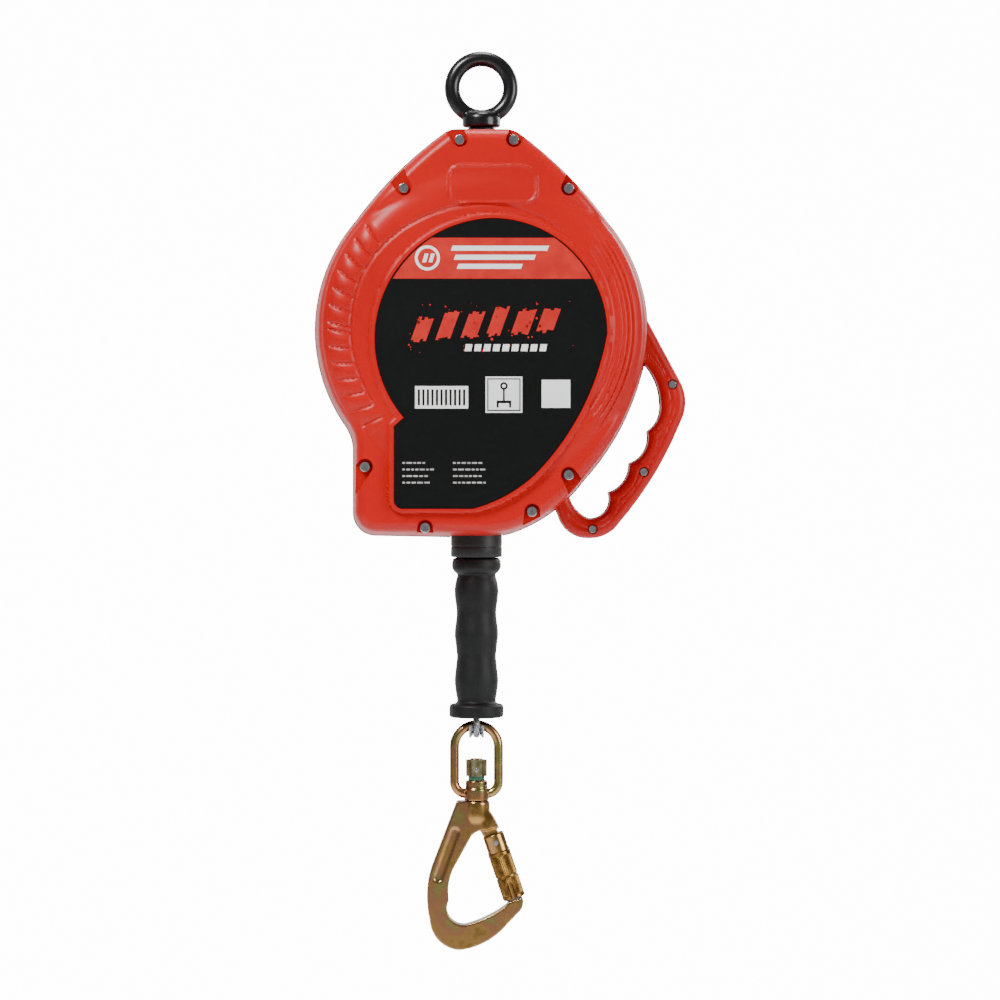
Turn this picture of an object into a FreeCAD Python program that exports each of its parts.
"""Self retracting lifeline: housing with carry handle, drum, brake, anchor eye, rope and snap hook.

Millimetres, +Z up, front faces -Y. The origin is the centre of the anchor eye's hole.
"""
import FreeCAD, Part
import math
import os
from FreeCAD import Vector

os.makedirs("parts", exist_ok=True)

# ---- driving dimensions -------------------------------------------------------------------
HALF_DEPTH = 54.0          # housing, parting plane to front or rear face
WALL = 3.5                 # cover wall
EDGE_R = 12.0              # rounding of the covers' outer edge
GASKET_T = 0.8
DRUM_Z = -169.4            # drum axis height
BODY_R = 116.2             # housing radius about the drum axis
LINE_X = -3.5              # vertical line of rope, grip, link and hook
ROPE_R = 2.4               # 4.8 mm wire rope
HANDLE_HALF = 17.0         # half thickness of the carry handle
FRAME_Y = 46.0             # middle of each frame plate from the parting plane
FRAME_T = 4.0
FRAME_R = 97.0
SHAFT_R = 10.0
FIT = 0.05                 # radial running clearance
DRUM_HALF = 22.0           # half width over the drum flanges
FLANGE_R = 84.0
FLANGE_T = 2.5
CORE_R = 46.0
TURNS = 8
EYE_PITCH_R = 20.5         # anchor eye ring
EYE_WIRE_R = 5.3
SHANK_R = 7.0
OUTLET_Z = -305.0          # where the rope turns from the drum tangent to vertical
LAY_R = 70.0               # centre of the outer rope layer
RING_Y = -38.8             # front face of the ratchet ring
RING_TOOTH_R = 59.0
TEETH = 24
TOOTH_PHASE = 8.8          # degrees; puts a tooth gap over each resting pawl tip
LINK_Z = -445.5            # axis the link swings about
GATE_PIVOT = (9.9, -527.8)
GATE_TILT = 18.6           # degrees from vertical

COVER_SCREWS = [(-15.8, -39.9), (21.4, -39.9), (-54.3, -73.2), (59.2, -73.2),
                (-80.9, -264.6), (-39.6, -306.5), (34.0, -295.4), (59.2, -270.2)]
HANDLE_SCREWS = [(132.9, -207.3), (113.0, -268.3), (77.2, -308.2)]
SPACER_ANGLES = [35, 145, 205, -25, -62]


# ---- helpers ------------------------------------------------------------------------------
def cyl(r, y0, y1, x=0.0, z=0.0):
    """Cylinder along Y."""
    return Part.makeCylinder(r, y1 - y0, Vector(x, y0, z), Vector(0, 1, 0))


def vcyl(r, z0, z1, x=0.0, y=0.0):
    """Cylinder along Z."""
    return Part.makeCylinder(r, z1 - z0, Vector(x, y, z0))


def tube(ro, ri, y0, y1, x=0.0, z=0.0):
    return cyl(ro, y0, y1, x, z).cut(cyl(ri, y0 - 1, y1 + 1, x, z))


def vtube(ro, ri, z0, z1, x=0.0, y=0.0):
    return vcyl(ro, z0, z1, x, y).cut(vcyl(ri, z0 - 1, z1 + 1, x, y))


def box(x0, x1, y0, y1, z0, z1):
    return Part.makeBox(x1 - x0, y1 - y0, z1 - z0, Vector(x0, y0, z0))


def hexagon(flats, y0, y1, x=0.0, z=0.0):
    """Hexagonal prism along Y."""
    r = flats / math.sqrt(3)
    pts = [Vector(x + r * math.cos(math.radians(60 * i)), y0, z + r * math.sin(math.radians(60 * i)))
           for i in range(7)]
    return Part.Face(Part.makePolygon(pts)).extrude(Vector(0, y1 - y0, 0))


def vhexagon(flats, z0, z1, x=0.0, y=0.0):
    """Hexagonal prism along Z."""
    r = flats / math.sqrt(3)
    pts = [Vector(x + r * math.cos(math.radians(60 * i)), y + r * math.sin(math.radians(60 * i)), z0)
           for i in range(7)]
    return Part.Face(Part.makePolygon(pts)).extrude(Vector(0, 0, z1 - z0))


def path(start, steps):
    """Wire in the XZ plane from steps: (x, z) is a line, (xm, zm, x, z) an arc through the middle."""
    edges = []
    p = start
    for s in steps:
        q = s[-2:]
        a = Vector(p[0], 0, p[1])
        b = Vector(q[0], 0, q[1])
        if len(s) == 2:
            edges.append(Part.makeLine(a, b))
        else:
            edges.append(Part.Arc(a, Vector(s[0], 0, s[1]), b).toShape())
        p = q
    return Part.Wire(edges)


def plate(wire, y0, y1):
    """Prism of an XZ outline between two depths."""
    face = Part.Face(wire)
    face.translate(Vector(0, y0, 0))
    return face.extrude(Vector(0, y1 - y0, 0))


def revolve(start, steps, x=0.0, y=0.0, angle=360):
    """Solid turned about the vertical line through (x, y) from a closed (radius, z) outline."""
    face = Part.Face(path(start, steps))
    solid = face.revolve(Vector(0, 0, 0), Vector(0, 0, 1), angle)
    solid.translate(Vector(x, y, 0))
    return solid


def spin_y(start, steps, z=0.0):
    """Solid turned about the Y line at height z from a closed (radius, y) outline."""
    solid = revolve(start, steps)
    solid.rotate(Vector(0, 0, 0), Vector(1, 0, 0), -90)
    solid.translate(Vector(0, 0, z))
    return solid


def polar(deg, r, z=DRUM_Z):
    return (r * math.cos(math.radians(deg)), z + r * math.sin(math.radians(deg)))


def fuse(shapes):
    shape = shapes[0]
    if len(shapes) > 1:
        shape = shape.multiFuse(shapes[1:])
    return shape.removeSplitter()


def biggest(shape):
    """Largest solid, without the slivers a cut can leave."""
    return max(shape.Solids, key=lambda solid: solid.Volume)


def rounded(shape, r, test):
    """Fillet the edges that pass the test."""
    return shape.makeFillet(r, [e for e in shape.Edges if test(e.BoundBox)])


def flat_at(y):
    """Edge test: lies in the plane Y = y."""
    return lambda b: abs(b.YMin - y) < 1e-4 and abs(b.YMax - y) < 1e-4


def sweep(wire, r):
    """Round bar of radius r along a wire."""
    edge = wire.Edges[0]
    start = edge.valueAt(edge.FirstParameter)
    circle = Part.Circle(start, edge.tangentAt(edge.FirstParameter), r).toShape()
    return wire.makePipeShell([Part.Wire([circle])], True, True)


def coil(radius, wire_r, pitch, height, origin, axis):
    """Helical spring starting at origin along axis."""
    helix = Part.makeHelix(pitch, height, radius)
    ring = Part.Wire([Part.Circle(Vector(radius, 0, 0), Vector(0, 1, pitch / (6.3 * radius)),
                                  wire_r).toShape()])
    spring = Part.Wire(helix.Edges).makePipeShell([ring], True, True)
    turn = FreeCAD.Rotation(Vector(0, 0, 1), Vector(*axis))
    spring.Placement = FreeCAD.Placement(Vector(*origin), turn)
    return spring


def save(name, shape):
    """Write one node, keeping only its solids."""
    solids = shape.Solids
    out = solids[0] if len(solids) == 1 else Part.makeCompound(solids)
    out.exportStep("parts/" + name + ".step")


# ---- housing outlines ---------------------------------------------------------------------
def housing_wire():
    upper_r = polar(40.8, BODY_R)
    lower_r = polar(-18, BODY_R)
    upper_l = polar(139.2, BODY_R)
    lower_l = polar(215, BODY_R)
    return path((-17.5, -29.0), [
        (17.5, -29.0),
        (23.2, -30.2, 27.5, -32.8),
        (58.0, -58.7) + upper_r,
        polar(11, BODY_R) + lower_r,
        (96.6, -239.4, 72.0, -274.0),
        (51.8, -294.7, 20.0, -311.5),
        (8.0, -313.6, -4.0, -314.0),
        (-74.2, -312.6),
        (-85.1, -308.1, -89.6, -297.2),
        (-89.6, -253.8),
        (-91.0, -244.5) + lower_l,
        polar(180, BODY_R) + upper_l,
        (-58.0, -58.7, -27.5, -32.8),
        (-23.2, -30.2, -17.5, -29.0)])


def handle_wire():
    """Carry handle with its root inside the housing outline."""
    return path((100.0, -150.0), [
        (109.0, -150.0),
        (139.1, -206.0),
        (142.3, -219.5, 139.1, -233.0),
        (123.6, -265.0, 96.0, -304.0),
        (88.0, -311.4, 76.0, -314.4),
        (63.5, -311.6, 55.0, -302.5),
        (48.0, -284.0),
        (60.0, -240.0),
        (100.0, -150.0)])


def opening_wire():
    """Finger opening with scalloped outer side."""
    return path((113.4, -192.6), [
        (121.5, -204.5, 124.9, -219.8),
        (122.5, -233.0, 115.9, -240.1),
        (114.5, -252.5, 103.3, -262.5),
        (99.5, -275.0, 88.6, -282.8),
        (85.5, -297.0, 74.6, -301.0),
        (66.0, -294.5, 60.5, -282.5),
        (86.5, -252.5, 104.5, -216.0),
        (108.5, -205.0, 113.4, -192.6)])


# ---- housing ------------------------------------------------------------------------------
PART_Y = GASKET_T / 2      # each cover stops this far from the parting plane
POCKET_Y = HALF_DEPTH - 12.0
BOSS_R = 8.0
PILLAR_R = 5.4
PAD_Y = HALF_DEPTH + 1.6   # front of the raised rim round the label


def half_outer(wire, depth, edge_r, bottom=PART_Y):
    """Front half of a prism with its outer edge rounded, y = -depth to -bottom."""
    return rounded(plate(wire, -depth, -bottom), edge_r, flat_at(-depth))


def toward_edge(x, z):
    """Angle of the shortest way from a cover screw out through the rim."""
    if z < -290:
        return -90.0
    if z > -50:
        return 90.0 + math.copysign(28.0, -x)
    return math.degrees(math.atan2(z - DRUM_Z, x))


def screw_pocket(x, z):
    """Round screw pocket that runs out through the housing's rim."""
    pocket = cyl(5.4, -HALF_DEPTH - 1, -POCKET_Y, x, z)
    slot = box(0, 30, -HALF_DEPTH - 1, -POCKET_Y, -5.4, 5.4)
    slot.rotate(Vector(0, 0, 0), Vector(0, 1, 0), -toward_edge(x, z))
    slot.translate(Vector(x, 0, z))
    return pocket.fuse(slot)


def cover_shell():
    """Front half of the housing: shell, screw bosses and half of the carry handle."""
    wire = housing_wire()
    outer = half_outer(wire, HALF_DEPTH, EDGE_R)
    inner_wire = wire.makeOffset2D(-WALL)
    inner = half_outer(inner_wire, HALF_DEPTH - WALL, EDGE_R - WALL, 0)
    shell = outer.cut(inner)
    bosses = []
    for x, z in COVER_SCREWS:
        pillar = cyl(PILLAR_R, -POCKET_Y, -PART_Y, x, z)
        bosses.append(cyl(BOSS_R, -HALF_DEPTH, -POCKET_Y + 4, x, z).fuse(pillar).common(outer))
    shell = shell.multiFuse(bosses + [handle_half(wire.makeOffset2D(-WALL / 2))])
    for x, z in COVER_SCREWS:
        shell = shell.cut(screw_pocket(x, z))
    shell = shell.cut(vcyl(SHANK_R + 3.0, -60, -20))
    shell = shell.cut(vcyl(18.2, -330, -300, LINE_X))
    return biggest(shell)


def handle_half(body_wire):
    """Front half of the carry handle, rounded outside, with a softened finger opening."""
    handle = half_outer(handle_wire(), HANDLE_HALF, 5.0)
    handle = handle.cut(plate(body_wire, -HANDLE_HALF - 1, 0))
    opening = plate(opening_wire(), -HANDLE_HALF - 1, 1)
    flare = plate(opening_wire().makeOffset2D(1.5), -HANDLE_HALF - 1, -HANDLE_HALF + 1.5)
    return handle.cut(opening).cut(flare)


def front_cover():
    shell = cover_shell()
    pad = plate(label_wire().makeOffset2D(4.0), -PAD_Y, -HALF_DEPTH + 0.5)
    shell = shell.fuse(rounded(pad, 1.2, flat_at(-PAD_Y)))
    shell = shell.cut(plate(label_wire().makeOffset2D(0.2), -PAD_Y - 1, -PAD_Y + 1.0))
    for r in (91.0, 95.5, 100.0):
        groove = tube(r + 0.5, r - 0.5, -HALF_DEPTH - 1, -HALF_DEPTH + 0.8, 0, DRUM_Z)
        side = plate(path((0.0, DRUM_Z), [polar(-38, 140), polar(32, 140), (0.0, DRUM_Z)]),
                     -HALF_DEPTH - 1, -HALF_DEPTH + 1)
        shell = shell.cut(groove.common(side))
    for x, z in COVER_SCREWS:
        shell = shell.cut(cyl(2.2, -HALF_DEPTH, 1, x, z))
    for x, z in HANDLE_SCREWS:
        shell = shell.cut(cyl(2.0, -HANDLE_HALF - 1, 1, x, z))
        shell = shell.cut(cyl(3.4, -HANDLE_HALF - 1, -HANDLE_HALF + 4, x, z))
    frame = plate(badge_wire(30.0, 12.8, 8.0), -HALF_DEPTH - 0.8, -HALF_DEPTH + 0.2)
    frame = frame.cut(plate(badge_wire(28.2, 11.0, 6.4), -HALF_DEPTH - 1, -HALF_DEPTH + 1))
    return biggest(shell.fuse(frame))


def badge_wire(w, h, r, x=7.0, z=-70.8):
    """Rounded rectangle of half width w and half height h."""
    k = r * (1 - math.sqrt(0.5))
    return path((x - w + r, z + h), [
        (x + w - r, z + h), (x + w - k, z + h - k, x + w, z + h - r),
        (x + w, z - h + r), (x + w - k, z - h + k, x + w - r, z - h),
        (x - w + r, z - h), (x - w + k, z - h + k, x - w, z - h + r),
        (x - w, z + h - r), (x - w + k, z + h - k, x - w + r, z + h)])


def rear_cover():
    shell = cover_shell().mirror(Vector(0, 0, 0), Vector(0, 1, 0))
    for x, z in COVER_SCREWS:
        shell = shell.cut(cyl(3.0, -1, 14.5, x, z))
    for x, z in HANDLE_SCREWS:
        shell = shell.cut(cyl(1.5, -1, 12.5, x, z))
    return shell.cut(cyl(60.5, HALF_DEPTH - 0.6, HALF_DEPTH + 1, 0, DRUM_Z))


def cover_gasket():
    """Thin seal in the parting plane, slightly proud of both covers."""
    proud = 0.5
    body = plate(housing_wire().makeOffset2D(proud), -PART_Y, PART_Y)
    grip = plate(handle_wire().makeOffset2D(proud), -PART_Y, PART_Y)
    grip = grip.cut(plate(opening_wire().makeOffset2D(-proud), -1, 1))
    seal = body.cut(plate(housing_wire().makeOffset2D(-WALL), -1, 1))
    grip = grip.cut(plate(housing_wire().makeOffset2D(-WALL / 2), -1, 1))
    seal = seal.fuse(grip)
    for x, z in COVER_SCREWS:
        seal = seal.cut(cyl(2.4, -1, 1, x, z))
    for x, z in HANDLE_SCREWS:
        seal = seal.cut(cyl(2.2, -1, 1, x, z))
    seal = seal.cut(vcyl(SHANK_R + 3.0, -60, -20))
    return seal.cut(vcyl(18.2, -330, -300, LINE_X))


def socket_screw(head_r, head_h, shank_r, length, socket_flats, y, x, z):
    """Cap screw pointing to +Y with the top of its head at y, and a pin in its socket."""
    head = rounded(cyl(head_r, y, y + head_h, x, z), 0.5, flat_at(y))
    head = head.cut(hexagon(socket_flats, y - 1, y + head_h * 0.55, x, z))
    pin = cyl(socket_flats * 0.2, y + 0.3, y + head_h * 0.6, x, z)
    return fuse([head, pin, cyl(shank_r, y + head_h, y + length, x, z)])


def cover_screws():
    return Part.makeCompound([
        socket_screw(3.6, 4.0, 2.0, POCKET_Y + 12.0, 3.0, -POCKET_Y - 4.0, x, z)
        for x, z in COVER_SCREWS])


def cover_inserts():
    return Part.makeCompound([tube(3.0, 2.0, PART_Y, 14.0, x, z) for x, z in COVER_SCREWS])


def handle_screws():
    return Part.makeCompound([
        socket_screw(2.9, 2.6, 1.5, HANDLE_HALF + 8.0, 2.0, -HANDLE_HALF + 1.4, x, z)
        for x, z in HANDLE_SCREWS])


def label_wire():
    """Outline of the rating label: round, with a squared foot at its lower left."""
    return path((-60.9, -287.3), [
        (-60.9, -236.8),
        (-54.3, -230.9),
        (-73.9, -173.0, 6.0, -94.5),
        (62.4, -117.9, 85.1, -172.9),
        (64.8, -231.0, 35.4, -270.2),
        (15.5, -284.4, -6.7, -293.3),
        (-54.9, -293.3),
        (-59.1, -291.6, -60.9, -287.3)])


def front_label():
    return plate(label_wire(), -PAD_Y + 0.4, -PAD_Y + 1.0)


def rear_label():
    return cyl(60.0, HALF_DEPTH - 0.6, HALF_DEPTH, 0, DRUM_Z)


def eye_bushing():
    """Flanged plastic bush where the anchor shank leaves the housing."""
    bush = vtube(SHANK_R + 2.9, SHANK_R + 1.0, -34.4, -28.4)
    flange = vtube(SHANK_R + 5.4, SHANK_R + 1.0, -34.4, -32.6)
    return bush.fuse(flange)


def outlet_collar():
    return revolve((12.0, -328.0), [
        (17.0, -328.0), (17.7, -327.7, 18.0, -327.0), (18.0, -308.2),
        (22.0, -307.8), (22.0, -306.0), (18.0, -306.0), (18.0, -296.0), (15.0, -296.0),
        (15.0, -312.0), (12.0, -312.0), (12.0, -328.0)], LINE_X)


def fairlead_bush():
    return revolve((5.0, -311.9), [
        (14.9, -311.9), (14.9, -297.0), (13.5, -297.0),
        (8.2, -300.2, 5.0, -309.0), (5.0, -311.9)], LINE_X)


# ---- frame and shaft ----------------------------------------------------------------------
CUP_Y0 = 24.0              # spring cup, drum side
CUP_Y1 = 43.9
CUP_R = 66.0


def frame_wire():
    right = polar(-40, FRAME_R)
    top_r = polar(34.5, FRAME_R)
    return path((-26.0, -50.0), [
        (26.0, -50.0), top_r, polar(0, FRAME_R) + right,
        polar(-90, FRAME_R) + polar(220, FRAME_R),
        polar(180, FRAME_R) + polar(145.5, FRAME_R), (-26.0, -50.0)])


def frame_plate(y, bore):
    body = plate(frame_wire(), y - FRAME_T / 2, y + FRAME_T / 2)
    body = body.cut(cyl(bore, y - 5, y + 5, 0, DRUM_Z))
    for a in SPACER_ANGLES:
        x, z = polar(a, 90.5)
        body = body.cut(cyl(3.1, y - 5, y + 5, x, z))
    for x in (-17.0, 17.0):
        body = body.cut(cyl(3.1, y - 5, y + 5, x, -58.0))
    for x, z in COVER_SCREWS:
        body = body.cut(cyl(BOSS_R + 0.6, y - 5, y + 5, x, z))
    return body


def frame_plate_front():
    body = frame_plate(-FRAME_Y, SHAFT_R - 3.0)
    for i in range(6):
        x, z = polar(60 * i + 30, 72.0)
        body = body.cut(cyl(11.0, -FRAME_Y - 5, -FRAME_Y + 5, x, z))
    return body


def frame_plate_rear():
    body = frame_plate(FRAME_Y, SHAFT_R - 3.0)
    for i in range(4):
        x, z = polar(90 * i + 45, 71.0)
        body = body.cut(cyl(2.1, FRAME_Y - 5, FRAME_Y + 5, x, z))
    return body


INNER_FACE = FRAME_Y - FRAME_T / 2
OUTER_FACE = FRAME_Y + FRAME_T / 2


def frame_spacers():
    parts = []
    for a in SPACER_ANGLES:
        x, z = polar(a, 90.5)
        parts.append(tube(5.2, 3.05, -INNER_FACE, INNER_FACE, x, z))
    return Part.makeCompound(parts)


def frame_bolts():
    parts = []
    for a in SPACER_ANGLES:
        x, z = polar(a, 90.5)
        head = rounded(cyl(4.8, -OUTER_FACE - 2.4, -OUTER_FACE, x, z), 0.6, flat_at(-OUTER_FACE - 2.4))
        parts.append(head.fuse(cyl(3.0, -OUTER_FACE, OUTER_FACE + 2.4, x, z)))
    return Part.makeCompound(parts)


def frame_nuts():
    parts = []
    for a in SPACER_ANGLES:
        x, z = polar(a, 90.5)
        nut = hexagon(9.0, OUTER_FACE, OUTER_FACE + 2.3, x, z)
        parts.append(nut.cut(cyl(3.0, OUTER_FACE - 1, OUTER_FACE + 5, x, z)))
    return Part.makeCompound(parts)


def top_block():
    """Steel cross block that carries the anchor shank between the frame plates."""
    block = box(-25.0, 25.0, -INNER_FACE, INNER_FACE, -66.0, -50.0)
    block = rounded(block, 3.0, lambda b: b.YLength > 80)
    block = block.cut(vcyl(SHANK_R + FIT, -70, -45))
    for x in (-17.0, 17.0):
        for y in (-INNER_FACE, INNER_FACE):
            block = block.cut(cyl(3.0, min(y, y * 0.6), max(y, y * 0.6), x, -58.0))
    return block


def block_screws():
    parts = []
    for x in (-17.0, 17.0):
        screw = socket_screw(4.6, 2.4, 3.0, 2.4 + FRAME_T + 15.0, 3.0, -OUTER_FACE - 2.4, x, -58.0)
        parts.append(screw)
        parts.append(screw.mirror(Vector(0, 0, 0), Vector(0, 1, 0)))
    return Part.makeCompound(parts)


def main_shaft():
    """Fixed shaft with shouldered ends and a slot for the power spring's inner end."""
    neck = SHAFT_R - 3.0
    shaft = cyl(SHAFT_R, -INNER_FACE, INNER_FACE, 0, DRUM_Z)
    return fuse([shaft, cyl(neck, -OUTER_FACE - 2.3, OUTER_FACE + 2.3, 0, DRUM_Z)])


def shaft_nuts():
    parts = []
    for y in (-OUTER_FACE - 2.3, OUTER_FACE):
        nut = hexagon(22.0, y, y + 2.3, 0, DRUM_Z)
        parts.append(nut.cut(cyl(SHAFT_R - 3.0, y - 1, y + 4, 0, DRUM_Z)))
    return Part.makeCompound(parts)


def spring_cup():
    """Pressed cup that holds the power spring against the rear frame plate."""
    cup = cyl(CUP_R, CUP_Y0, CUP_Y1, 0, DRUM_Z).cut(cyl(CUP_R - 2, CUP_Y0 - 1, CUP_Y1 - 2, 0, DRUM_Z))
    rim = tube(76.0, CUP_R - 1.0, CUP_Y1 - 2.5, CUP_Y1, 0, DRUM_Z)
    cup = cup.fuse(rim).cut(cyl(SHAFT_R + 0.2, CUP_Y0 - 1, CUP_Y1 + 1, 0, DRUM_Z))
    for i in range(4):
        x, z = polar(90 * i + 45, 71.0)
        cup = cup.cut(cyl(2.1, CUP_Y0, CUP_Y1 + 1, x, z))
    return cup


def spring_cup_lid():
    lid = tube(CUP_R + 1.5, 24.0, CUP_Y0 - 1.0, CUP_Y0, 0, DRUM_Z)
    lip = tube(CUP_R + 1.5, CUP_R + 0.1, CUP_Y0, CUP_Y0 + 4.0, 0, DRUM_Z)
    return lid.fuse(lip)


def cup_screws():
    parts = []
    for i in range(4):
        x, z = polar(90 * i + 45, 71.0)
        head = cyl(3.8, CUP_Y1 - 4.6, CUP_Y1 - 2.5, x, z)
        parts.append(head.fuse(cyl(2.0, CUP_Y1 - 2.5, OUTER_FACE, x, z)))
    return Part.makeCompound(parts)


def spiral_edges(r0, r1, turns, y):
    """Spiral about the drum axis, from half circles centred in turn on two close points."""
    step = (r1 - r0) / (2 * turns)
    edges = []
    for i in range(2 * turns):
        x = step * (i % 2)
        r = r0 + i * step
        side = 1 - 2 * (i % 2)
        start = Vector(x + side * r, y, DRUM_Z)
        middle = Vector(x, y, DRUM_Z + side * r)
        edges.append(Part.Arc(start, middle, Vector(x - side * r, y, DRUM_Z)).toShape())
    return edges


def power_spring():
    """Flat spiral spring; its outer end lies against the cup."""
    y = CUP_Y0 + 1.5
    inner = spiral_edges(27.0, 62.0, 14, y)
    outer = spiral_edges(28.0, 63.0, 14, y)
    near = Part.makeLine(inner[0].Vertexes[0].Point, outer[0].Vertexes[0].Point)
    far = Part.makeLine(inner[-1].Vertexes[-1].Point, outer[-1].Vertexes[-1].Point)
    wire = Part.Wire(inner + [far] + outer[::-1] + [near])
    return Part.Face(wire).extrude(Vector(0, 16.0, 0))


# ---- overload brake -----------------------------------------------------------------------
def ratchet_ring():
    """Internal-toothed ring; the pawls catch its teeth, its web slips between the discs."""
    ring = cyl(70.0, RING_Y, -23.5, 0, DRUM_Z).cut(cyl(64.0, RING_Y + 4.0, -20, 0, DRUM_Z))
    ring = ring.cut(cyl(SHAFT_R + 5.0, RING_Y - 1, RING_Y + 5, 0, DRUM_Z))
    pitch = 360.0 / TEETH
    teeth = []
    for i in range(TEETH):
        a = TOOTH_PHASE + i * pitch
        pts = [polar(a, 64.5), polar(a, RING_TOOTH_R), polar(a + 2.5, RING_TOOTH_R),
               polar(a + 0.62 * pitch, 64.5)]
        wire = Part.makePolygon([Vector(x, 0, z) for x, z in pts + pts[:1]])
        teeth.append(plate(wire, RING_Y + 3.9, -23.5))
    return ring.multiFuse(teeth)


def friction_discs():
    front = tube(33.0, SHAFT_R + 6.0, RING_Y - 2.1, RING_Y - 0.1, 0, DRUM_Z)
    rear = tube(33.0, SHAFT_R + 6.0, RING_Y + 4.1, RING_Y + 6.1, 0, DRUM_Z)
    return Part.makeCompound([front, rear])


def backing_plate():
    hub = tube(SHAFT_R + 4.8, SHAFT_R + 0.02, -INNER_FACE, RING_Y + 4.0, 0, DRUM_Z)
    disc = tube(40.0, SHAFT_R + 0.02, -INNER_FACE, RING_Y - 2.1, 0, DRUM_Z)
    return hub.fuse(disc)


def pressure_plate():
    return tube(33.0, SHAFT_R + 0.02, RING_Y + 6.1, RING_Y + 8.6, 0, DRUM_Z)


def disc_spring():
    y = RING_Y + 8.7
    return spin_y((SHAFT_R + 0.3, y + 1.4), [
        (SHAFT_R + 0.3, y + 2.6), (24.0, y + 1.2), (24.0, y), (SHAFT_R + 0.3, y + 1.4)], DRUM_Z)


def brake_nut():
    y = RING_Y + 11.4
    nut = hexagon(30.0, y, y + 4.2, 0, DRUM_Z)
    return nut.cut(cyl(SHAFT_R, y - 1, y + 6, 0, DRUM_Z))


# ---- drum ---------------------------------------------------------------------------------
PAWL_R = 44.0              # pawl pivots from the drum axis
PAWL_Y0 = -31.0
PAWL_Y1 = -24.5


def drum():
    hub = cyl(23.5, -DRUM_HALF, 41.0, 0, DRUM_Z)
    core = tube(CORE_R, CORE_R - 4.0, -DRUM_HALF, DRUM_HALF, 0, DRUM_Z)
    front = cyl(FLANGE_R, -DRUM_HALF, -DRUM_HALF + FLANGE_T, 0, DRUM_Z)
    rear = cyl(FLANGE_R, DRUM_HALF - FLANGE_T, DRUM_HALF, 0, DRUM_Z)
    body = fuse([hub, core, front, rear]).cut(cyl(12.0, -30, 50, 0, DRUM_Z))
    for i in range(6):
        x, z = polar(60 * i + 30, 33.0)
        body = body.cut(cyl(6.5, -30, 30, x, z))
    for a in (0, 180):
        x, z = polar(a, PAWL_R)
        body = body.cut(cyl(3.0, -30, -DRUM_HALF + FLANGE_T + 0.3, x, z))
    x, z = polar(300, CORE_R - 2.6)
    return body.cut(cyl(2.5, -25, -15, x, z))


def drum_bushes():
    return Part.makeCompound([tube(12.0, SHAFT_R + FIT, y, y + 14.0, 0, DRUM_Z)
                              for y in (-DRUM_HALF, 26.0)])


def cable_windings():
    """Wound wire rope as one scalloped pack."""
    inside = DRUM_HALF - FLANGE_T - 0.1
    step = 2 * inside / TURNS
    valley = LAY_R - 0.2
    steps = [(valley, -inside)]
    for i in range(TURNS):
        y = -inside + i * step
        steps.append((LAY_R + ROPE_R, y + step / 2, valley, y + step))
    steps += [(CORE_R + 0.02, inside), (CORE_R + 0.02, -inside)]
    return spin_y((CORE_R + 0.02, -inside), steps, DRUM_Z)


def rope_clamp_screw():
    x, z = polar(300, CORE_R - 2.6)
    return fuse([cyl(3.6, -DRUM_HALF - 1.6, -DRUM_HALF, x, z), cyl(2.5, -DRUM_HALF, -15.2, x, z)])


def pawl(angle):
    """Centrifugal pawl lying inside the ratchet ring, tip leading the turn."""
    wire = path((38.5, -2.0), [
        (49.5, 2.0), (52.0, 22.0), (47.0, 25.5), (38.5, 6.0), (38.5, -2.0)])
    body = plate(wire, PAWL_Y0, PAWL_Y1).fuse(cyl(6.0, PAWL_Y0, PAWL_Y1, PAWL_R, 0))
    body = body.cut(cyl(3.0 + FIT, -40, -10, PAWL_R, 0))
    body.rotate(Vector(0, 0, 0), Vector(0, 1, 0), -angle)
    body.translate(Vector(0, 0, DRUM_Z))
    return body


def pawl_a():
    return pawl(0)


def pawl_b():
    return pawl(180)


def pawl_pivots():
    pins = []
    for a in (0, 180):
        x, z = polar(a, PAWL_R)
        head = cyl(4.4, PAWL_Y0 - 1.6, PAWL_Y0 - 0.2, x, z)
        pins.append(cyl(3.0, PAWL_Y0 - 0.2, -DRUM_HALF + FLANGE_T, x, z).fuse(head))
    return Part.makeCompound(pins)


def pawl_springs():
    """Small return springs lying on the drum flange beside each pawl."""
    springs = []
    for turn in (0, 180):
        spring = coil(2.0, 0.4, 1.6, 12.0, (30.5, -25.5, -2.0), (0.12, 0, 1))
        spring.rotate(Vector(0, 0, 0), Vector(0, 1, 0), -turn)
        spring.translate(Vector(0, 0, DRUM_Z))
        springs.append(spring)
    return Part.makeCompound(springs)


# ---- anchor eye ---------------------------------------------------------------------------
def anchor_eye():
    """Forged swivel eye with shouldered collar and threaded shank."""
    ring = Part.makeTorus(EYE_PITCH_R, EYE_WIRE_R, Vector(0, 0, 0), Vector(0, 1, 0))
    land = tube(EYE_PITCH_R, EYE_PITCH_R - EYE_WIRE_R, -2.0, 2.0)
    stem = revolve((0.0, -16.0), [
        (8.0, -17.0), (12.4, -18.8, 13.3, -21.5), (13.3, -26.6), (12.6, -27.3), (7.7, -27.4),
        (7.7, -34.0), (SHANK_R, -35.5), (SHANK_R, -80.0), (0.0, -80.0), (0.0, -16.0)])
    eye = fuse([ring, land, stem]).cut(cyl(EYE_PITCH_R - EYE_WIRE_R, -10, 10))
    return eye.cut(cyl(1.3, -10, 10, 0, -76.5))


def eye_washer():
    return vtube(14.0, SHANK_R + FIT, -68.3, -66.1)


def eye_nut():
    nut = vhexagon(22.0, -78.0, -68.4).cut(vcyl(SHANK_R, -90, -60))
    return nut.cut(cyl(1.3, -15, 15, 0, -76.5))


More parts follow.
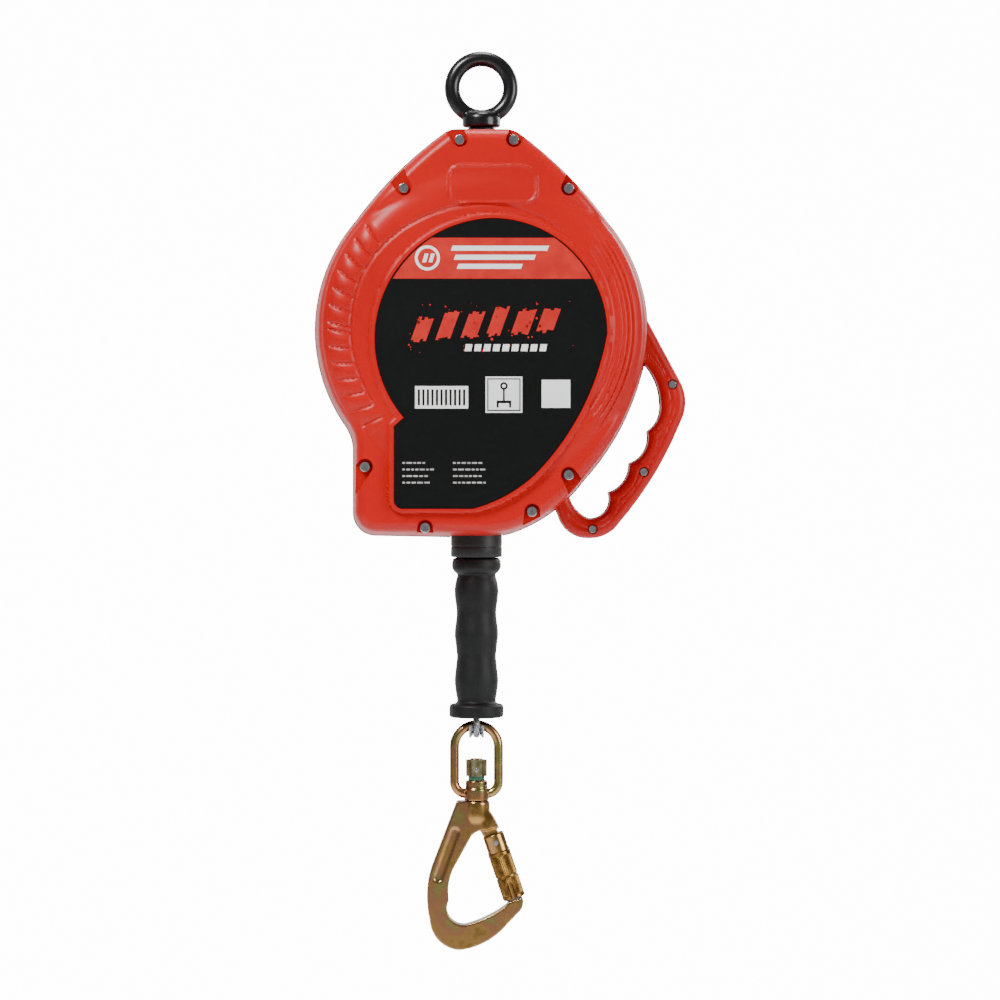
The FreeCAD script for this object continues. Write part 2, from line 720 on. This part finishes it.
def eye_pin():
    """Split pin with opened ends."""
    pin = cyl(1.2, -14.0, 14.0, 0, -76.5)
    head = Part.makeTorus(2.2, 0.9, Vector(0, -15.6, -76.5), Vector(1, 0, 0))
    return pin.fuse(head)


# ---- lifeline -----------------------------------------------------------------------------
GRIP_TOP = -328.3
GRIP_BOTTOM = -440.3
BEND_R = 25.0              # rope bend at the fairlead
LOOP_R = 6.95              # rope centre of the end loop about the link's axis
FERRULE_BOTTOM = -428.0


def lifeline_inner_run():
    """Rope from the drum's outer layer to the fairlead, then bent to vertical."""
    dx = -LINE_X
    dist = math.hypot(dx, OUTLET_Z - DRUM_Z)
    lean = math.asin(LAY_R / dist) - math.atan2(dx, DRUM_Z - OUTLET_Z)
    ux, uz = math.sin(lean), -math.cos(lean)
    clear = 28.0
    tangent_length = math.sqrt(dist ** 2 - LAY_R ** 2)
    start = (LINE_X - ux * (tangent_length - clear), OUTLET_Z - uz * (tangent_length - clear))
    cut = BEND_R * math.tan(lean / 2)
    bend0 = (LINE_X - ux * cut, OUTLET_Z - uz * cut)
    centre = (LINE_X - BEND_R, OUTLET_Z - cut)
    mid = (centre[0] + BEND_R * math.cos(lean / 2), centre[1] + BEND_R * math.sin(lean / 2))
    return sweep(path(start, [bend0, mid + (LINE_X, OUTLET_Z - cut)]), ROPE_R)


def lifeline_run():
    return vcyl(ROPE_R, -410.0, -312.1, LINE_X)


def hand_grip():
    """Rubber grip with three swells over the ferrule, bead at the top and flange at the bottom."""
    return revolve((3.2, GRIP_TOP), [
        (15.0, GRIP_TOP), (17.0, -333.0, 15.0, -338.0),
        (13.3, -340.5), (15.2, -351.4, 13.7, -367.5), (15.1, -381.5, 13.5, -397.6),
        (15.1, -414.4, 13.3, -428.4), (17.5, -430.6), (18.7, -431.8), (18.7, -438.8),
        (18.3, -439.8, 17.2, GRIP_BOTTOM), (11.5, GRIP_BOTTOM), (11.5, -430.0), (8.3, -430.0),
        (8.3, -389.8), (3.2, -389.8), (3.2, GRIP_TOP)], LINE_X)


def stop_washer():
    return vtube(8.2, ROPE_R + 0.2, -392.2, -390.0, LINE_X)


def ferrule():
    body = vcyl(8.0, FERRULE_BOTTOM, -392.4, LINE_X)
    body = rounded(body, 1.2, lambda b: b.ZLength < 1e-6)
    body = body.cut(vcyl(ROPE_R, -410.0, -380.0, LINE_X))
    for y in (-2.6, 2.6):
        body = body.cut(vcyl(ROPE_R, -440.0, -412.0, LINE_X, y))
    return body


def loop_path(r, leg, top):
    """Eye loop: legs from top, spreading below the ferrule, round the link's wire."""
    drop = FERRULE_BOTTOM - 0.5 - LINK_Z
    width = r - leg
    bend = (drop ** 2 + width ** 2) / (4 * width)
    half = math.asin(drop / 2 / bend) / 2
    upper = (leg + bend - bend * math.cos(half), LINK_Z + drop - bend * math.sin(half))
    lower = (r - bend + bend * math.cos(half), LINK_Z + bend * math.sin(half))
    knee = (leg + width / 2, LINK_Z + drop / 2)
    right = [(leg, LINK_Z + drop), upper + knee, lower + (r, LINK_Z)]
    left = [(0.0, LINK_Z - r, -r, LINK_Z), (-lower[0], lower[1], -knee[0], knee[1]),
            (-upper[0], upper[1], -leg, LINK_Z + drop), (-leg, top)]
    return path((leg, top), right + left)


def lifeline_loop():
    loop = sweep(loop_path(LOOP_R, 2.6, -412.0), ROPE_R)
    loop.rotate(Vector(0, 0, 0), Vector(0, 0, 1), 90)
    loop.translate(Vector(LINE_X, 0, 0))
    return loop


def thimble():
    """Channel saddle between rope loop and link, open to the rope."""
    gap = 2.47
    section = path((-3.5, LOOP_R), [
        (0.0, LOOP_R - 3.5, 3.5, LOOP_R), (5.2, 8.8), (4.4, 9.5), (gap, 7.3), (gap, LOOP_R),
        (0.0, LOOP_R - gap, -gap, LOOP_R), (-gap, 7.3), (-4.4, 9.5), (-5.2, 8.8),
        (-3.5, LOOP_R)])
    saddle = Part.Face(section).revolve(Vector(0, 0, 0), Vector(1, 0, 0), 180)
    saddle.rotate(Vector(0, 0, 0), Vector(1, 0, 0), 90)
    saddle.translate(Vector(LINE_X, 0, LINK_Z))
    return saddle


# ---- link and hook ------------------------------------------------------------------------
LINK_R = 3.3
LINK_HALF = 15.4
LINK_BASE = -493.8
LINK_CORNER = 8.4
SHANK = 4.5                # hook's swivel shank


def swivel_link():
    """Arched wire link with a bored boss at its base."""
    arch = LINK_Z - LINK_HALF
    k = LINK_CORNER * (1 - math.sqrt(0.5))
    x0, x1 = LINE_X - LINK_HALF, LINE_X + LINK_HALF
    low = LINK_BASE + LINK_CORNER
    wire = path((LINE_X, LINK_BASE), [
        (x1 - LINK_CORNER, LINK_BASE), (x1 - k, LINK_BASE + k, x1, low), (x1, arch),
        (LINE_X, LINK_Z, x0, arch), (x0, low),
        (x0 + k, LINK_BASE + k, x0 + LINK_CORNER, LINK_BASE), (LINE_X, LINK_BASE)])
    ring = sweep(wire, LINK_R)
    boss = revolve((0.0, -498.4), [
        (7.9, -498.4), (8.3, -498.2, 8.5, -497.8), (8.5, -490.6), (7.7, -489.4), (7.7, -485.0),
        (7.1, -484.4), (0.0, -484.4), (0.0, -498.4)], LINE_X)
    return ring.fuse(boss).cut(vcyl(6.2, -500, -480, LINE_X))


def swivel_bush():
    return vtube(6.2, SHANK + FIT, -498.4, -484.4, LINE_X)


def swivel_nut():
    nut = vhexagon(12.8, -481.4, -469.8, LINE_X).cut(vcyl(SHANK, -490, -460, LINE_X))
    return nut.cut(cyl(1.3, -10, 10, LINE_X, -476.7))


def nut_pin():
    return rounded(cyl(1.3, -7.4, 7.4, LINE_X, -476.7), 0.3, lambda b: b.YLength < 1e-6)


def load_indicator_band():
    return vtube(5.6, SHANK, -484.2, -481.5, LINE_X)


def hook_wire():
    return path((-17.2, -498.6), [
        (-35.0, -545.0),
        (-38.2, -562.0, -36.4, -581.5),
        (-29.0, -597.3, -15.4, -603.0),
        (3.0, -597.2, 15.0, -588.2),
        (25.0, -577.5),
        (28.6, -573.0, 29.3, -568.6),
        (29.1, -567.2, 28.2, -566.3),
        (23.5, -568.1, 18.7, -569.4),
        (17.6, -571.4),
        (4.6, -579.4, -10.0, -585.0),
        (-20.5, -582.0, -22.8, -568.0),
        (-22.9, -557.0, -20.0, -546.5),
        (-7.0, -523.0),
        (-2.5, -519.8, 3.0, -519.0),
        (13.0, -518.6),
        (9.5, -511.5, 5.3, -505.0),
        (5.3, -498.6),
        (-17.2, -498.6)])


def hook_body():
    """Forged swivel hook with shank, barrel and a central tongue for the gate."""
    half = 7.0
    body = plate(hook_wire(), -half, half)
    for r in (2.5, 1.5, 0.8):
        try:
            body = rounded(body, r, lambda b: b.YLength < 1e-5)
            break
        except Part.OCCError:
            continue
    px, pz = GATE_PIVOT
    body = body.cut(cyl(10.4, -20, 20, px, pz))
    tongue = cyl(5.5, -2.9, 2.9, px, pz)
    bar = box(-5.5, 5.5, -2.9, 2.9, 0, 14.0)
    bar.rotate(Vector(0, 0, 0), Vector(0, 1, 0), -30.0)
    bar.translate(Vector(px, 0, pz))
    barrel = revolve((0.0, -498.7), [
        (7.9, -498.7), (8.3, -498.9, 8.5, -499.3), (8.5, -510.0), (7.2, -513.5, 4.0, -515.0),
        (0.0, -515.0), (0.0, -498.7)], LINE_X)
    body = fuse([body, tongue, bar, barrel, vcyl(SHANK, -500.0, -469.0, LINE_X)])
    for y0, y1 in ((-half - 1, -half + 0.8), (half - 0.8, half + 1)):
        panel = box(-3.2, 3.2, y0, y1, -17.0, 17.0)
        panel = panel.fuse(cyl(3.2, y0, y1, 0, 17.0)).fuse(cyl(3.2, y0, y1, 0, -17.0))
        panel.rotate(Vector(0, 0, 0), Vector(0, 1, 0), 20.0)
        panel.translate(Vector(-24.5, 0, -536.0))
        body = body.cut(panel)
    body = body.cut(cyl(1.3, -20, 20, LINE_X, -476.7))
    return body.cut(cyl(1.8, -20, 20, px, pz))


def in_gate(shape):
    """Move a shape drawn along -Z from the gate pivot into place."""
    shape.rotate(Vector(0, 0, 0), Vector(0, 1, 0), -GATE_TILT)
    shape.translate(Vector(GATE_PIVOT[0], 0, GATE_PIVOT[1]))
    return shape


GATE_END = -41.4
GATE_R = 8.05
CORE = 5.4


def hook_gate():
    """Gate bar with a forked head that straddles the hook's tongue."""
    head = rounded(vcyl(GATE_R, -5.9, 6.0), 1.0, lambda b: b.ZLength < 1e-6 and b.ZMin > 5)
    head = head.fuse(vcyl(GATE_R, -6.6, -5.9))
    core = vcyl(CORE, GATE_END, -6.0).cut(vcyl(CORE - 1.4, -32.0, -10.0).cut(vcyl(2.0, -32.0, -10.0)))
    gate = head.fuse(core).cut(box(-12, 12, -3.1, 3.1, -5.9, 8.0))
    return in_gate(gate.cut(cyl(1.8, -10, 10)))


def gate_pivot_pin():
    px, pz = GATE_PIVOT
    return cyl(1.78, -7.7, 7.7, px, pz)


def gate_spring():
    """Closing spring inside the gate bar."""
    return in_gate(coil(3.0, 0.5, 2.6, 19.0, (0, 0, -30.5), (0, 0, 1)))


def lock_sleeve():
    """Turning sleeve with finger grooves and a slot at its lower end."""
    sleeve = vtube(GATE_R, CORE + 0.08, GATE_END, -6.8)
    sleeve = rounded(sleeve, 0.7, lambda b: b.ZLength < 1e-6 and b.XLength > 2 * GATE_R - 0.1)
    for i in range(24):
        a = math.radians(15 * i)
        rib = vcyl(0.45, GATE_END - 1, -6.0, (GATE_R + 0.2) * math.cos(a), (GATE_R + 0.2) * math.sin(a))
        sleeve = sleeve.cut(rib)
    slot = box(-2.2, 2.2, -12.0, -3.0, GATE_END - 1, -29.0)
    return in_gate(sleeve.cut(slot))


def sleeve_detent():
    """Snap ring that keeps the sleeve on the gate."""
    ring = vtube(CORE + 0.35, CORE - 0.4, GATE_END - 0.5, GATE_END - 0.1)
    return in_gate(ring)


PARTS = [
    front_cover, rear_cover, cover_gasket, cover_screws, cover_inserts, handle_screws, front_label,
    rear_label, eye_bushing, outlet_collar, fairlead_bush, frame_plate_front, frame_plate_rear,
    frame_spacers, frame_bolts, frame_nuts, top_block, block_screws, main_shaft, shaft_nuts,
    spring_cup, spring_cup_lid, cup_screws, power_spring, friction_discs, backing_plate,
    pressure_plate, disc_spring, brake_nut, ratchet_ring, drum, drum_bushes, cable_windings,
    rope_clamp_screw, pawl_pivots, pawl_springs, pawl_a, pawl_b, anchor_eye, eye_washer, eye_nut,
    eye_pin, lifeline_inner_run, lifeline_run, hand_grip, stop_washer, ferrule, lifeline_loop,
    thimble, swivel_link, swivel_bush, hook_body, swivel_nut, nut_pin, load_indicator_band,
    gate_pivot_pin, hook_gate, gate_spring, lock_sleeve, sleeve_detent]

for build in PARTS:
    save(build.__name__, build())
